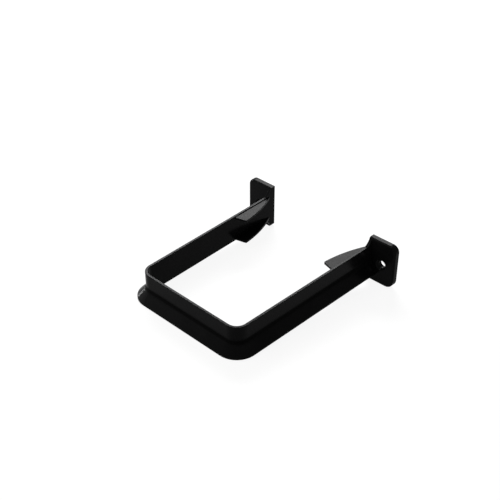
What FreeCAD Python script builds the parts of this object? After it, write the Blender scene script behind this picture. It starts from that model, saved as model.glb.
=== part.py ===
import FreeCAD, Part
import math
import os

import Sketcher

NODE = "standoff_clip"
ORIGIN_POINT = (-1, 1)
HORIZONTAL_AXIS = -1

# Driving dimensions in millimetres.
# The wall is the plane Y = 0, the pipe runs along Z, and Z = 0 is the height of the screws.
SIZES = {
    # Band around the pipe
    "inner_width": 66.0,
    "inner_depth": 100.6,
    "arm_spread": 2.2,
    "corner_radius": 5.5,
    "wall_thickness": 1.5,
    "band_height": 16.2,
    "band_rise": 1.3,
    # Flared skirt along the band's lower edge
    "skirt_reach": 4.8,
    "skirt_height": 6.4,
    "crease_radius": 2.5,
    "lip_height": 1.2,
    "lip_width": 1.2,
    "lip_round": 0.4,
    "rim_round": 0.4,
    # Stop plates that keep the pipe off the wall
    "stop_setback": 33.2,
    "stop_reach": 6.8,
    "stop_slant": 2.0,
    "stop_flank_radius": 75.0,
    "stop_tip_round": 0.6,
    "stop_thickness": 1.2,
    "stop_step": 0.6,
    "stop_lift": 0.7,
    # Screw lugs, and the webs that run from them onto the arms
    "lug_width": 17.0,
    "lug_thickness": 3.4,
    "lug_corner_radius": 3.8,
    "lug_foot_radius": 5.0,
    "lug_heel": 1.2,
    "lug_edge_round": 1.0,
    "web_run": 3.6,
    "web_rise": 3.7,
    "web_fall": 4.3,
    "web_radius": 9.0,
    # Countersunk screw holes
    "hole_inset": 8.6,
    "hole_diameter": 4.2,
    "countersink_diameter": 6.4,
    "countersink_angle": 90.0,
}

# Places worked out from the driving dimensions
ARM_END = "(dims.inner_width / 2 + dims.arm_spread)"
ARM_SLOPE = "atan(dims.arm_spread / dims.inner_depth)"
BAND_TOP = "(dims.band_rise + dims.band_height / 2)"
BAND_BOTTOM = "(dims.band_rise - dims.band_height / 2)"
INNER_FACE = "(-dims.inner_depth)"
OUTER_FACE = f"({INNER_FACE} - dims.wall_thickness)"
SKIRT_EDGE = f"({OUTER_FACE} - dims.skirt_reach)"
SKIRT_SLOPE = "((dims.skirt_height - dims.lip_height) / dims.skirt_reach)"
GROOVE_TOP = f"({BAND_BOTTOM} + (dims.skirt_reach - dims.lip_width) * {SKIRT_SLOPE})"


def arm_at(distance):
    """Half the width between the arms at a distance from the wall."""
    return f"({ARM_END} - dims.arm_spread * {distance} / dims.inner_depth)"


ARM_AT_STOP = arm_at("dims.stop_setback")
LUG_INNER = arm_at("dims.lug_thickness")
LUG_OUTER = f"({LUG_INNER} + dims.lug_width)"
LUG_TOP = f"({BAND_TOP} + dims.web_rise + dims.lug_edge_round)"
LUG_BOTTOM = f"({BAND_BOTTOM} - dims.web_fall - dims.lug_heel)"
LUG_FRONT = "(-dims.lug_thickness)"
WEB_FRONT = f"({LUG_FRONT} - dims.web_run)"
WEB_SINK = "(dims.rim_round / 4)"
HOLE_X = f"({LUG_INNER} + dims.hole_inset)"


def make_sheet(doc):
    """Spreadsheet with one named cell for each driving dimension."""
    sheet = doc.addObject("Spreadsheet::Sheet", "dims")
    for row, (name, size) in enumerate(SIZES.items(), start=1):
        sheet.set(f"A{row}", name)
        sheet.set(f"B{row}", str(size))
        sheet.setAlias(f"B{row}", name)
    doc.recompute()
    return sheet


def origin_plane(body, role):
    """One of the body's own reference planes."""
    for feature in body.Origin.OriginFeatures:
        if feature.Role == role:
            return feature
    raise ValueError(f"no plane {role}")


def make_sketch(body, role, name):
    """Empty sketch on one of the body's reference planes."""
    sketch = body.newObject("Sketcher::SketchObject", name)
    sketch.AttachmentSupport = [(origin_plane(body, role), "")]
    sketch.MapMode = "FlatFace"
    return sketch


def offset_sketch(sketch, formula):
    """Moves a sketch along its plane's normal."""
    sketch.setExpression(".AttachmentOffset.Base.z", formula)


def value(sketch, formula):
    """Present value of a formula over the driving dimensions."""
    return float(sketch.evalExpression(formula))


def point(sketch, formulas):
    """Present place of a point given by two formulas."""
    return FreeCAD.Vector(value(sketch, formulas[0]), value(sketch, formulas[1]), 0)


def tie(sketch, constraint, name, formula):
    """Adds a constraint and binds it to a formula."""
    index = sketch.addConstraint(constraint)
    sketch.renameConstraint(index, name)
    sketch.setExpression(f"Constraints.{name}", formula)


def pin(sketch, geo, pos, formulas, name):
    """Fixes a point at the place given by two formulas."""
    place = sketch.getPoint(geo, pos)
    for axis, reach, formula in zip("XY", (place.x, place.y), formulas):
        if formula == "0":
            axis_line = HORIZONTAL_AXIS if axis == "Y" else HORIZONTAL_AXIS - 1
            sketch.addConstraint(Sketcher.Constraint("PointOnObject", geo, pos, axis_line))
            continue
        ends = (*ORIGIN_POINT, geo, pos) if reach >= 0 else (geo, pos, *ORIGIN_POINT)
        sign = "" if reach >= 0 else "-1 * "
        distance = Sketcher.Constraint(f"Distance{axis}", *ends, abs(reach))
        tie(sketch, distance, f"{name}_{axis.lower()}", f"{sign}({formula})")


def join(sketch, geo_a, pos_a, geo_b, pos_b):
    """Makes two end points meet."""
    sketch.addConstraint(Sketcher.Constraint("Coincident", geo_a, pos_a, geo_b, pos_b))


def corner_arc(before, corner, after, radius):
    """Arc that rounds a corner, with its tangent points on the side before and after it."""
    back = (before - corner).normalize()
    ahead = (after - corner).normalize()
    half = back.getAngle(ahead) / 2
    centre = corner + (back + ahead).normalize() * (radius / math.sin(half))
    run = radius / math.tan(half)
    ends = [corner + back * run, corner + ahead * run]
    left_turn = (corner - before).cross(after - corner).z > 0
    first, last = ends if left_turn else reversed(ends)
    angles = [math.atan2(end.y - centre.y, end.x - centre.x) for end in (first, last)]
    if angles[1] < angles[0]:
        angles[1] += 2 * math.pi
    arc = Part.ArcOfCircle(Part.Circle(centre, FreeCAD.Vector(0, 0, 1), radius), *angles)
    return arc, ends, left_turn


def draw_outline(sketch, corners, closed=True):
    """Straight sides between named corners (name, x, y, radius), rounded where a radius is given."""
    places = [point(sketch, corner[1:3]) for corner in corners]
    count = len(corners)
    sides = count if closed else count - 1
    guides = []
    for i in range(sides):
        line = Part.LineSegment(places[i], places[(i + 1) % count])
        guides.append(sketch.addGeometry(line, True))
    for i in range(1, sides):
        join(sketch, guides[i - 1], 2, guides[i], 1)
    if closed:
        join(sketch, guides[-1], 2, guides[0], 1)
    for i, (name, x, y, radius) in enumerate(corners):
        on_last_end = not closed and i == count - 1
        guide, pos = (guides[i - 1], 2) if on_last_end else (guides[i], 1)
        pin(sketch, guide, pos, (x, y), name)

    starts = list(places)
    ends = list(places)
    arcs = {}
    for i, (name, x, y, radius) in enumerate(corners):
        if radius is None:
            continue
        rounding = corner_arc(
            places[i - 1], places[i], places[(i + 1) % count], value(sketch, radius)
        )
        arc, (ends[i], starts[i]), left_turn = rounding
        arcs[i] = (sketch.addGeometry(arc, False), left_turn)
    lines = []
    for i in range(sides):
        line = Part.LineSegment(starts[i], ends[(i + 1) % count])
        lines.append(sketch.addGeometry(line, False))

    for i, (name, x, y, radius) in enumerate(corners):
        inner_end = not closed and i in (0, count - 1)
        if i in arcs:
            arc, left_turn = arcs[i]
            enter, leave = (1, 2) if left_turn else (2, 1)
            sketch.addConstraint(Sketcher.Constraint("Tangent", lines[i - 1], 2, arc, enter))
            sketch.addConstraint(Sketcher.Constraint("Tangent", arc, leave, lines[i], 1))
            sketch.addConstraint(
                Sketcher.Constraint("PointOnObject", lines[i - 1], 2, guides[i - 1])
            )
            sketch.addConstraint(Sketcher.Constraint("PointOnObject", lines[i], 1, guides[i]))
            tie(sketch, Sketcher.Constraint("Radius", arc, value(sketch, radius)), f"{name}_r", radius)
        elif inner_end:
            line, guide, pos = (lines[0], guides[0], 1) if i == 0 else (lines[-1], guides[-1], 2)
            join(sketch, line, pos, guide, pos)
        else:
            join(sketch, lines[i - 1], 2, guides[i - 1], 2)
            join(sketch, lines[i], 1, guides[i], 1)


def make_band(body):
    """Wall and skirt section swept along the inner face, from the middle of the front to a lug."""
    path = make_sketch(body, "XY_Plane", "band_path")
    draw_outline(
        path,
        [
            ("front_middle", "0", INNER_FACE, None),
            ("corner", "dims.inner_width / 2", INNER_FACE, "dims.corner_radius"),
            ("arm_end", ARM_END, "0", None),
        ],
        closed=False,
    )
    section = make_sketch(body, "YZ_Plane", "band_section")
    draw_outline(
        section,
        [
            ("foot_inner", INNER_FACE, BAND_BOTTOM, "dims.rim_round"),
            ("rim_inner", INNER_FACE, BAND_TOP, "dims.rim_round"),
            ("rim_outer", OUTER_FACE, BAND_TOP, "dims.rim_round"),
            ("crease", OUTER_FACE, f"{BAND_BOTTOM} + dims.skirt_height", "dims.crease_radius"),
            ("lip_edge", SKIRT_EDGE, f"{BAND_BOTTOM} + dims.lip_height", "dims.lip_round"),
            ("lip_foot", SKIRT_EDGE, BAND_BOTTOM, "dims.lip_round"),
            ("groove_edge", f"{SKIRT_EDGE} + dims.lip_width", BAND_BOTTOM, None),
            ("groove_top", OUTER_FACE, GROOVE_TOP, "dims.rim_round"),
            ("foot_outer", OUTER_FACE, BAND_BOTTOM, None),
        ],
    )
    body.Document.recompute()
    band = body.newObject("PartDesign::AdditivePipe", "band")
    band.Profile = section
    spine_edges = [f"Edge{i + 1}" for i in range(len(path.Shape.Edges))]
    band.Spine = (path, spine_edges)
    return band


def make_lug(body):
    """Flat plate that lies against the wall, with rounded outer corners and a bevelled heel."""
    sketch = make_sketch(body, "XZ_Plane", "lug_outline")
    draw_outline(
        sketch,
        [
            ("heel_side", LUG_INNER, f"{LUG_BOTTOM} + dims.lug_heel", None),
            ("heel_foot", f"{LUG_INNER} + dims.lug_heel", LUG_BOTTOM, None),
            ("outer_foot", LUG_OUTER, LUG_BOTTOM, "dims.lug_foot_radius"),
            ("outer_top", LUG_OUTER, LUG_TOP, "dims.lug_corner_radius"),
            ("inner_top", LUG_INNER, LUG_TOP, None),
        ],
    )
    lug = body.newObject("PartDesign::Pad", "lug")
    lug.Profile = sketch
    lug.setExpression("Length", "dims.lug_thickness")
    return lug


def arc_between(start, end, radius):
    """Arc that turns to the left on its way from start to end."""
    chord = end - start
    sideways = FreeCAD.Vector(-chord.y, chord.x, 0).normalize()
    rise = math.sqrt(radius**2 - (chord.Length / 2) ** 2)
    centre = (start + end) / 2 + sideways * rise
    angles = [math.atan2(spot.y - centre.y, spot.x - centre.x) for spot in (start, end)]
    if angles[1] < angles[0]:
        angles[1] += 2 * math.pi
    return Part.ArcOfCircle(Part.Circle(centre, FreeCAD.Vector(0, 0, 1), radius), *angles)


def make_stop(body, name, foot):
    """Thin wedge on the arm's inner face: a slanted edge that meets the pipe, and a bulged flank."""
    sketch = make_sketch(body, "XY_Plane", f"{name}_plan")
    offset_sketch(sketch, foot)
    corners = {
        "root": (f"{ARM_AT_STOP} + dims.wall_thickness / 2", "-dims.stop_setback"),
        "tip": (f"{ARM_AT_STOP} - dims.stop_reach", "-dims.stop_setback + dims.stop_slant"),
        "tail": (f"{LUG_INNER} + dims.wall_thickness / 4", LUG_FRONT),
        "seat": (f"{LUG_INNER} + dims.wall_thickness / 2", LUG_FRONT),
    }
    root, tip, tail, seat = [point(sketch, formulas) for formulas in corners.values()]
    radius = value(sketch, "dims.stop_flank_radius")
    face = sketch.addGeometry(Part.LineSegment(root, tip), False)
    flank = sketch.addGeometry(arc_between(tail, tip, radius), False)
    back = sketch.addGeometry(Part.LineSegment(tail, seat), False)
    side = sketch.addGeometry(Part.LineSegment(seat, root), False)
    join(sketch, face, 2, flank, 2)
    join(sketch, flank, 1, back, 1)
    join(sketch, back, 2, side, 1)
    join(sketch, side, 2, face, 1)
    for geo, (corner, formulas) in zip(((face, 1), (face, 2), (back, 1), (back, 2)), corners.items()):
        pin(sketch, *geo, formulas, corner)
    tie(sketch, Sketcher.Constraint("Radius", flank, radius), "flank_r", "dims.stop_flank_radius")

    stop = body.newObject("PartDesign::Pad", name)
    stop.Profile = sketch
    stop.setExpression("Length", "dims.stop_thickness")
    return stop


def make_web(body):
    """Arm end that sweeps up and down onto the lug with a hollow curve."""
    sketch = make_sketch(body, "YZ_Plane", "web_outline")
    offset_sketch(sketch, ARM_END)
    sketch.AttachmentOffset = FreeCAD.Placement(
        FreeCAD.Vector(), FreeCAD.Rotation(FreeCAD.Vector(0, 1, 0), 0)
    )
    sketch.setExpression(".AttachmentOffset.Rotation.Angle", f"-{ARM_SLOPE}")
    seat = f"{LUG_FRONT} / 2"
    crown = f"{BAND_TOP} + dims.web_rise - {WEB_SINK}"
    toe = f"{BAND_BOTTOM} - dims.web_fall + {WEB_SINK}"
    corners = {
        "rim": (WEB_FRONT, f"{BAND_TOP} - {WEB_SINK}"),
        "foot": (WEB_FRONT, f"{BAND_BOTTOM} + {WEB_SINK}"),
        "toe": (LUG_FRONT, toe),
        "seat_foot": (seat, toe),
        "seat_top": (seat, crown),
        "crown": (LUG_FRONT, crown),
    }
    places = {name: point(sketch, formulas) for name, formulas in corners.items()}
    radius = value(sketch, "dims.web_radius")
    top_arc = sketch.addGeometry(arc_between(places["rim"], places["crown"], radius), False)
    foot_arc = sketch.addGeometry(arc_between(places["toe"], places["foot"], radius), False)
    ring = ["crown", "seat_top", "seat_foot", "toe"]
    sides = []
    for first, last in zip(ring, ring[1:]):
        sides.append(sketch.addGeometry(Part.LineSegment(places[first], places[last]), False))
    front = sketch.addGeometry(Part.LineSegment(places["foot"], places["rim"]), False)
    joints = [(top_arc, sides[0]), (sides[0], sides[1]), (sides[1], sides[2]), (sides[2], foot_arc)]
    joints += [(foot_arc, front), (front, top_arc)]
    for before, after in joints:
        join(sketch, before, 2, after, 1)
    for name, geo in zip(corners, (top_arc, front, foot_arc, sides[2], sides[1], sides[0])):
        pin(sketch, geo, 1, corners[name], name)
    for name, arc in (("top", top_arc), ("foot", foot_arc)):
        tie(sketch, Sketcher.Constraint("Radius", arc, radius), f"{name}_r", "dims.web_radius")

    web = body.newObject("PartDesign::Pad", "web")
    web.Profile = sketch
    web.setExpression("Length", "dims.wall_thickness")
    return web


def make_hole(body):
    """Countersunk screw hole through the lug, with the screw's head at the front."""
    sketch = make_sketch(body, "XZ_Plane", "hole_centre")
    offset_sketch(sketch, "dims.lug_thickness")
    radius = value(sketch, "dims.hole_diameter / 2")
    centre = point(sketch, (HOLE_X, "0"))
    circle = sketch.addGeometry(Part.Circle(centre, FreeCAD.Vector(0, 0, 1), radius), False)
    pin(sketch, circle, 3, (HOLE_X, "0"), "hole")
    tie(sketch, Sketcher.Constraint("Radius", circle, radius), "hole_r", "dims.hole_diameter / 2")
    body.Document.recompute()
    hole = body.newObject("PartDesign::Hole", "screw_hole")
    hole.Profile = sketch
    hole.DepthType = "ThroughAll"
    hole.HoleCutType = "Countersink"
    hole.HoleCutCustomValues = True
    hole.setExpression("Diameter", "dims.hole_diameter")
    hole.setExpression("HoleCutDiameter", "dims.countersink_diameter")
    hole.setExpression("HoleCutCountersinkAngle", "dims.countersink_angle")
    return hole


def mirror_half(body, features):
    """The other half of the clip."""
    mirror = body.newObject("PartDesign::Mirrored", "other_half")
    mirror.Originals = features
    mirror.MirrorPlane = (origin_plane(body, "YZ_Plane"), [""])
    body.Tip = mirror
    return mirror


def edges_where(shape, test):
    """Names of the edges that pass a test."""
    return [f"Edge{i}" for i, edge in enumerate(shape.Edges, start=1) if test(edge)]


def round_edges(body, base, name, edges, radius):
    """Fillet along named edges of the base feature."""
    fillet = body.newObject("PartDesign::Fillet", name)
    fillet.Base = (base, edges)
    fillet.setExpression("Radius", radius)
    body.Tip = fillet
    return fillet


def lug_front_edges(sheet, shape):
    """The lugs' front outline, apart from the side that the arm joins."""
    near = 1e-4
    front = value(sheet, LUG_FRONT)
    inner = value(sheet, LUG_INNER)
    top = value(sheet, LUG_TOP)
    foot = value(sheet, LUG_BOTTOM)
    outer = value(sheet, LUG_OUTER)
    radii = [value(sheet, f"dims.{name}") for name in ("lug_corner_radius", "lug_foot_radius")]

    def on_outline(edge):
        if any(abs(vertex.Y - front) > near for vertex in edge.Vertexes):
            return False
        middle = edge.valueAt((edge.FirstParameter + edge.LastParameter) / 2)
        if abs(middle.y - front) > near:
            return False
        is_corner = isinstance(edge.Curve, Part.Circle) and abs(middle.x) > outer - max(radii)
        is_corner = is_corner and any(abs(edge.Curve.Radius - radius) < near for radius in radii)
        is_level = min(abs(middle.z - top), abs(middle.z - foot)) < near and abs(middle.x) > inner
        return is_corner or is_level or abs(abs(middle.x) - outer) < near

    return edges_where(shape, on_outline)


def stop_tip_edges(sheet, shape):
    """The upright edge at the tip of each pipe stop."""
    near = 1e-4
    tip_x = value(sheet, f"{ARM_AT_STOP} - dims.stop_reach")
    tip_y = value(sheet, "-dims.stop_setback + dims.stop_slant")

    def at_tip(edge):
        return all(
            abs(abs(vertex.X) - tip_x) < near and abs(vertex.Y - tip_y) < near
            for vertex in edge.Vertexes
        )

    return edges_where(shape, at_tip)


def check_document(doc, body):
    """Stops if any feature failed or the solid isn't sound."""
    for item in doc.Objects:
        if {"Invalid", "Error"} & set(item.State):
            raise RuntimeError(f"{item.Name} failed: {item.State}")
    shape = body.Shape
    if shape.isNull() or not shape.isValid() or len(shape.Solids) != 1:
        raise RuntimeError("the clip isn't one sound solid")


def main():
    doc = FreeCAD.newDocument("clip")
    sheet = make_sheet(doc)
    body = doc.addObject("PartDesign::Body", "clip_body")
    body.Label = NODE
    half = [make_band(body), make_lug(body), make_web(body)]
    half.append(make_stop(body, "upper_stop", f"{BAND_TOP} - dims.stop_step - dims.stop_thickness"))
    half.append(make_stop(body, "lower_stop", f"{BAND_BOTTOM} + dims.stop_lift"))
    doc.recompute()
    half.append(make_hole(body))
    doc.recompute()
    mirror = mirror_half(body, half)
    doc.recompute()
    tips = round_edges(
        body, mirror, "stop_tips", stop_tip_edges(sheet, mirror.Shape), "dims.stop_tip_round"
    )
    doc.recompute()
    round_edges(body, tips, "lug_rims", lug_front_edges(sheet, tips.Shape), "dims.lug_edge_round")
    doc.recompute()
    check_document(doc, body)
    os.makedirs("parts", exist_ok=True)
    body.Shape.exportStep(f"parts/{body.Label}.step")
    box = body.Shape.BoundBox
    print(f"{body.Label}: {box.XLength:.2f} x {box.YLength:.2f} x {box.ZLength:.2f} mm")
    print(f"volume {body.Shape.Volume:.1f} mm3")


main()
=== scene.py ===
import math

import bpy
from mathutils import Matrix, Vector

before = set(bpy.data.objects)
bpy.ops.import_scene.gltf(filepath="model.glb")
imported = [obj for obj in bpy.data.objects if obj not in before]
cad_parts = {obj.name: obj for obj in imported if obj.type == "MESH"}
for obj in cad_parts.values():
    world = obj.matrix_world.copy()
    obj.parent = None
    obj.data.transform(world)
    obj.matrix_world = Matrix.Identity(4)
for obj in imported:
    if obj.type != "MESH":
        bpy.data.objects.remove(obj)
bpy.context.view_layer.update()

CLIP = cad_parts["standoff_clip"]

# Lengths and places are in metres, angles in degrees, powers in watts, colours linear

# Camera fitted to the photograph
CAMERA_PLACE = (0.26922, -0.33855, 0.29074)
CAMERA_AZIMUTH = 43.695
CAMERA_ELEVATION = 35.233
CAMERA_LENS_MM = 67.426
CAMERA_SENSOR_MM = 36.0
CAMERA_SHIFT = (-0.001, 0.001)

# The clip lies on its lugs and on the front of its lip, so the floor leans a little.
# Each foot is given by its Y and Z.
FLOOR_SIZE = 30.0
LUG_FOOT = (-0.0028, -0.0123)
LIP_FOOT = (-0.1065, -0.0068)

# How pale the floor is to light that it bounces onto the clip, and the two parts of the
# white that is seen of it: one that takes the shadow, and one that glows
FLOOR_BOUNCE = 0.75
FLOOR_SHADED = 0.16
FLOOR_GLOW = 0.90

# Strength at which the world lights the clip, and at which it is seen
WORLD_LIGHT = 0.16
WORLD_SEEN = 1.0

# Softboxes: name, place, point that it faces, width, height, power
SOFTBOXES = (
    ("back_softbox", (-0.460, 0.370, 0.440), (0.0, -0.05, 0.0), 0.50, 0.21, 6.7),
    ("left_softbox", (-0.779, -0.035, 0.042), (-0.037, -0.1, 0.0), 0.30, 0.07, 4.4),
    ("front_softbox", (-0.273, -0.523, 0.651), (0.0, -0.05, 0.0), 0.36, 0.16, 1.3),
    ("front_panel", (-0.700, -0.510, 0.280), (-0.02, -0.1, 0.0), 0.46, 0.30, 1.1),
)

# Plastic's shades: darkest and palest along its flow marks, a painted shade in the crease, and
# paler on edges and rim, partly wear and partly painted highlight
SHADE_DARK = (0.0048, 0.0048, 0.0049, 1.0)
SHADE_PALE = (0.0068, 0.0068, 0.0070, 1.0)
CREASE_PAINTED_SHADE = (0.0018, 0.0018, 0.0018, 1.0)
SHADE_WEAR_AND_HIGHLIGHT = (0.034, 0.034, 0.035, 1.0)

# Plastic's gloss, with what the crease adds to its roughness
ROUGHNESS = (0.17, 0.25)
CREASE_ROUGHNESS = 0.50
PLASTIC_IOR = 1.5
SPECULAR_LEVEL = 0.018

# Noises: features per metre and detail. Only the middle of a noise's range is used.
FLOW_NOISE = (55.0, 4.0)
SKIN_NOISE = (900.0, 3.0)
GRAIN_NOISE = (5200.0, 2.0)
NOISE_ROUGHNESS = 0.55
NOISE_SPAN = (0.35, 0.65)

# Bumps: strength and depth
SKIN_BUMP = (0.06, 0.0002)
GRAIN_BUMP = (0.05, 0.00004)

# Paler edges, partly wear and partly painted highlight: least and greatest share, reach,
# and cosines of the turn at which they start and are full
WEAR_AND_HIGHLIGHT_SHARE = (0.35, 0.80)
EDGE_MASK_REACH = 0.0007
EDGE_MASK_TURN = (0.995, 0.90)

# Hollow corners get neither wear nor painted highlight: openness within a reach at which they
# start and are full
SHELTER_REACH = 0.0015
SHELTER_OPEN = (0.80, 0.97)

# Edges get wear and painted highlight above the first height, and nearer to the wall than the
# lug's root
LIP_TOP = -0.0030
LUG_ROOT = -0.0075

# Middle of the band, and the heights where its crease starts and ends, from far to near
BAND_MIDDLE = (0.0, -0.05, 0.0)
CREASE_BELOW = (-0.0018, -0.0004)
CREASE_ABOVE = (0.0020, 0.0005)

# Heights over which the band's rim, which the photograph shows crisp, is shaded flat
RIM_HEIGHTS = (0.0092, 0.00935)
UP = (0.0, 0.0, 1.0)

# Radius over which the shading of sharp edges is softened, and rays that nodes send out
EDGE_SOFTENING = 0.00012
BEVEL_RAYS = 8
SHELTER_RAYS = 4


def grey(level):
    """Opaque neutral colour."""
    return (level, level, level, 1.0)


def set_input(tree, node, socket, value):
    """Sets an input to a plain value, or links it to a source, a node and its output's name."""
    if isinstance(value, tuple) and isinstance(value[0], bpy.types.Node):
        source, output = value
        tree.links.new(source.outputs[output], node.inputs[socket])
    else:
        node.inputs[socket].default_value = value


def add_node(tree, kind, inputs=None, **properties):
    """Adds a node with the given properties, and inputs that are plain values or sources."""
    node = tree.nodes.new(kind)
    for name, value in properties.items():
        setattr(node, name, value)
    for socket, value in (inputs or {}).items():
        set_input(tree, node, socket, value)
    return node


def add_math(tree, operation, *values):
    """Source of a sum, product or comparison."""
    node = add_node(tree, "ShaderNodeMath", dict(enumerate(values)), operation=operation)
    return node, "Value"


def add_dot(tree, first, second):
    """Source of the dot product of two vectors."""
    inputs = {0: first, 1: second}
    return add_node(tree, "ShaderNodeVectorMath", inputs, operation="DOT_PRODUCT"), "Value"


def add_range(tree, value, limits, results=(0.0, 1.0), kind="LINEAR"):
    """Source that runs from one result to the other as a value passes between its limits."""
    inputs = {
        "Value": value,
        "From Min": limits[0],
        "From Max": limits[1],
        "To Min": results[0],
        "To Max": results[1],
    }
    return add_node(tree, "ShaderNodeMapRange", inputs, interpolation_type=kind), "Result"


def add_mix(tree, data_type, factor, first, second):
    """Source of a mix of two colours or vectors."""
    # The sockets depend on the data type, which add_node sets before them
    inputs = {"Factor": factor, "A": first, "B": second}
    return add_node(tree, "ShaderNodeMix", inputs, data_type=data_type), "Result"


def add_noise(tree, place, scale, detail):
    """Source of a noise in the clip's own coordinates."""
    inputs = {
        "Vector": (place, "Object"),
        "Scale": scale,
        "Detail": detail,
        "Roughness": NOISE_ROUGHNESS,
    }
    return add_node(tree, "ShaderNodeTexNoise", inputs), "Fac"


def add_rounding(tree, radius):
    """Source of a normal that is rounded over the edges."""
    return add_node(tree, "ShaderNodeBevel", {"Radius": radius}, samples=BEVEL_RAYS), "Normal"


def add_bump(tree, normal, height, strength, depth):
    """Source of a normal with a bump on it."""
    inputs = {"Normal": normal, "Height": height, "Strength": strength, "Distance": depth}
    return add_node(tree, "ShaderNodeBump", inputs), "Normal"


def empty_material(name):
    """Material with nothing in its tree but the output."""
    material = bpy.data.materials.new(name)
    material.use_nodes = True
    tree = material.node_tree
    tree.nodes.clear()
    return material, tree, add_node(tree, "ShaderNodeOutputMaterial")


def add_edge_mask(tree, spot):
    """Near 1 along the moulding's open edges, and 0 on its faces and along the sheltered lip."""
    surface = add_node(tree, "ShaderNodeNewGeometry")
    facing = add_dot(tree, add_rounding(tree, EDGE_MASK_REACH), (surface, "Normal"))
    turned = add_range(tree, facing, EDGE_MASK_TURN)

    above = add_math(tree, "GREATER_THAN", (spot, "Z"), LIP_TOP)
    behind = add_math(tree, "GREATER_THAN", (spot, "Y"), LUG_ROOT)
    in_reach = add_math(tree, "MAXIMUM", above, behind)
    shelter = add_node(
        tree,
        "ShaderNodeAmbientOcclusion",
        {"Distance": SHELTER_REACH},
        samples=SHELTER_RAYS,
        only_local=True,
    )
    proud = add_range(tree, (shelter, "AO"), SHELTER_OPEN)
    open_edge = add_math(tree, "MULTIPLY", proud, in_reach)
    return add_math(tree, "MULTIPLY", turned, open_edge)


def add_crease_mask(tree, place, spot, before_lug):
    """Near 1 in the hollow between the band's outer face and its skirt, where shade is painted,
    and 0 elsewhere.
    """
    rising = add_range(tree, (spot, "Z"), CREASE_BELOW, kind="SMOOTHSTEP")
    falling = add_range(tree, (spot, "Z"), CREASE_ABOVE, kind="SMOOTHSTEP")
    hollow = add_math(tree, "MULTIPLY", rising, falling)

    inputs = {0: (place, "Object"), 1: BAND_MIDDLE}
    outward = add_node(tree, "ShaderNodeVectorMath", inputs, operation="SUBTRACT")
    facing = add_dot(tree, (outward, "Vector"), (place, "Normal"))
    outer = add_math(tree, "GREATER_THAN", facing, 0.0)
    hollow_outside = add_math(tree, "MULTIPLY", hollow, outer)
    return add_math(tree, "MULTIPLY", hollow_outside, before_lug)


def add_rim_mask(tree, spot, before_lug):
    """1 on the top of the band's rim and most of its rounding, and 0 elsewhere."""
    near_top = add_range(tree, (spot, "Z"), RIM_HEIGHTS)
    return add_math(tree, "MULTIPLY", near_top, before_lug)


def black_plastic():
    """Glossy black moulded plastic: flow marks, a duller crease with painted shade, and edges
    and rim paler from wear and painted highlight.
    """
    material, tree, output = empty_material("black_plastic")
    place = add_node(tree, "ShaderNodeTexCoord")
    spot = add_node(tree, "ShaderNodeSeparateXYZ", {"Vector": (place, "Object")})
    before_lug = add_math(tree, "LESS_THAN", (spot, "Y"), LUG_ROOT)
    edges = add_edge_mask(tree, spot)
    crease = add_crease_mask(tree, place, spot, before_lug)
    rim = add_rim_mask(tree, spot, before_lug)
    flow = add_noise(tree, place, *FLOW_NOISE)
    skin = add_noise(tree, place, *SKIN_NOISE)
    grain = add_noise(tree, place, *GRAIN_NOISE)

    flow_marks = add_range(tree, flow, NOISE_SPAN)
    shade = add_mix(tree, "RGBA", flow_marks, SHADE_DARK, SHADE_PALE)
    # Painted shade: the base colour is darkened in the crease
    shade = add_mix(tree, "RGBA", crease, shade, CREASE_PAINTED_SHADE)
    # Painted highlight with wear: open edges and the band's rim are made paler
    wear_and_highlight_places = add_math(tree, "MAXIMUM", edges, rim)
    wear_and_highlight_share = add_range(tree, skin, NOISE_SPAN, WEAR_AND_HIGHLIGHT_SHARE)
    wear_and_highlight = add_math(tree, "MULTIPLY", wear_and_highlight_places, wear_and_highlight_share)
    shade = add_mix(tree, "RGBA", wear_and_highlight, shade, SHADE_WEAR_AND_HIGHLIGHT)

    polish = add_range(tree, flow, NOISE_SPAN, ROUGHNESS)
    roughness = add_math(tree, "MULTIPLY_ADD", crease, CREASE_ROUGHNESS, polish)

    normal = add_mix(tree, "VECTOR", rim, add_rounding(tree, EDGE_SOFTENING), UP)
    normal = add_bump(tree, normal, skin, *SKIN_BUMP)
    normal = add_bump(tree, normal, grain, *GRAIN_BUMP)

    inputs = {
        "Base Color": shade,
        "Roughness": roughness,
        "Normal": normal,
        "IOR": PLASTIC_IOR,
        "Specular IOR Level": SPECULAR_LEVEL,
    }
    plastic = add_node(tree, "ShaderNodeBsdfPrincipled", inputs)
    set_input(tree, output, "Surface", (plastic, "BSDF"))
    return material


def seen_directly(tree):
    """1 for what the camera sees, also in a reflection or through glass."""
    path = add_node(tree, "ShaderNodeLightPath")
    seen = add_math(tree, "MAXIMUM", (path, "Is Camera Ray"), (path, "Is Glossy Ray"))
    return add_math(tree, "MAXIMUM", seen, (path, "Is Transmission Ray"))


def pale_floor():
    """White floor that keeps a soft shadow, and bounces light as a pale floor does."""
    material, tree, output = empty_material("pale_floor")
    matt = add_node(tree, "ShaderNodeBsdfDiffuse", {"Color": grey(FLOOR_BOUNCE)})
    shaded = add_node(tree, "ShaderNodeBsdfDiffuse", {"Color": grey(FLOOR_SHADED)})
    glow = add_node(tree, "ShaderNodeEmission", {"Strength": FLOOR_GLOW})
    white = add_node(tree, "ShaderNodeAddShader", {0: (shaded, "BSDF"), 1: (glow, "Emission")})
    inputs = {"Fac": seen_directly(tree), 1: (matt, "BSDF"), 2: (white, "Shader")}
    choice = add_node(tree, "ShaderNodeMixShader", inputs)
    set_input(tree, output, "Surface", (choice, "Shader"))
    return material


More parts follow.
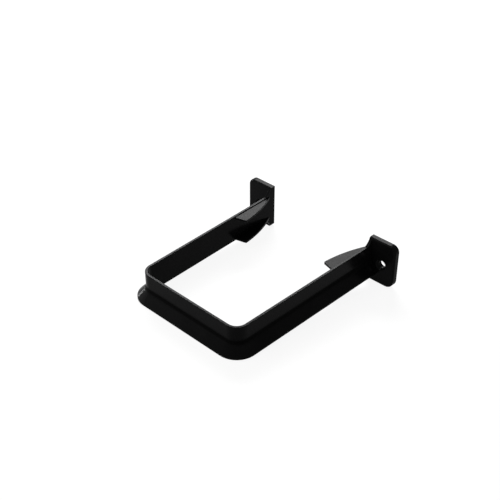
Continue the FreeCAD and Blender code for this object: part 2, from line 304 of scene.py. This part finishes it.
def add_floor():
    """Large plane that touches the lugs and the lip from below."""
    run = LUG_FOOT[0] - LIP_FOOT[0]
    rise = LUG_FOOT[1] - LIP_FOOT[1]
    lean = math.atan2(rise, run)
    bpy.ops.mesh.primitive_plane_add(
        size=FLOOR_SIZE, location=(0.0, LUG_FOOT[0], LUG_FOOT[1]), rotation=(lean, 0.0, 0.0)
    )
    floor = bpy.context.object
    floor.name = "floor"
    floor.data.materials.append(pale_floor())


def add_world():
    """Even white studio, which lights the part less than it shows."""
    world = bpy.data.worlds.new("studio")
    world.use_nodes = True
    bpy.context.scene.world = world
    tree = world.node_tree
    tree.nodes.clear()
    strength = add_range(tree, seen_directly(tree), (0.0, 1.0), (WORLD_LIGHT, WORLD_SEEN))
    sky = add_node(tree, "ShaderNodeBackground", {"Color": grey(1.0), "Strength": strength})
    add_node(tree, "ShaderNodeOutputWorld", {"Surface": (sky, "Background")})


def add_softbox(name, place, aim, width, height, power):
    """Rectangular soft lamp at a place, facing a point."""
    lamp = bpy.data.lights.new(name, "AREA")
    lamp.shape = "RECTANGLE"
    lamp.size = width
    lamp.size_y = height
    lamp.energy = power
    holder = bpy.data.objects.new(name, lamp)
    bpy.context.scene.collection.objects.link(holder)
    holder.location = place
    holder.visible_camera = False
    facing = Vector(aim) - Vector(place)
    holder.rotation_euler = facing.to_track_quat("-Z", "Y").to_euler()


def add_camera():
    """Camera at the photograph's place."""
    data = bpy.data.cameras.new("camera")
    data.sensor_width = CAMERA_SENSOR_MM
    data.lens = CAMERA_LENS_MM
    data.shift_x, data.shift_y = CAMERA_SHIFT
    camera = bpy.data.objects.new("camera", data)
    bpy.context.scene.collection.objects.link(camera)
    camera.location = CAMERA_PLACE
    tilt = math.radians(90.0 - CAMERA_ELEVATION)
    camera.rotation_euler = (tilt, 0.0, math.radians(CAMERA_AZIMUTH))
    bpy.context.scene.camera = camera


def dress_clip():
    """Gives the moulding its finish."""
    CLIP.data.materials.clear()
    CLIP.data.materials.append(black_plastic())


dress_clip()
add_floor()
add_world()
for softbox in SOFTBOXES:
    add_softbox(*softbox)
add_camera()
bpy.context.scene.view_settings.view_transform = "Standard"
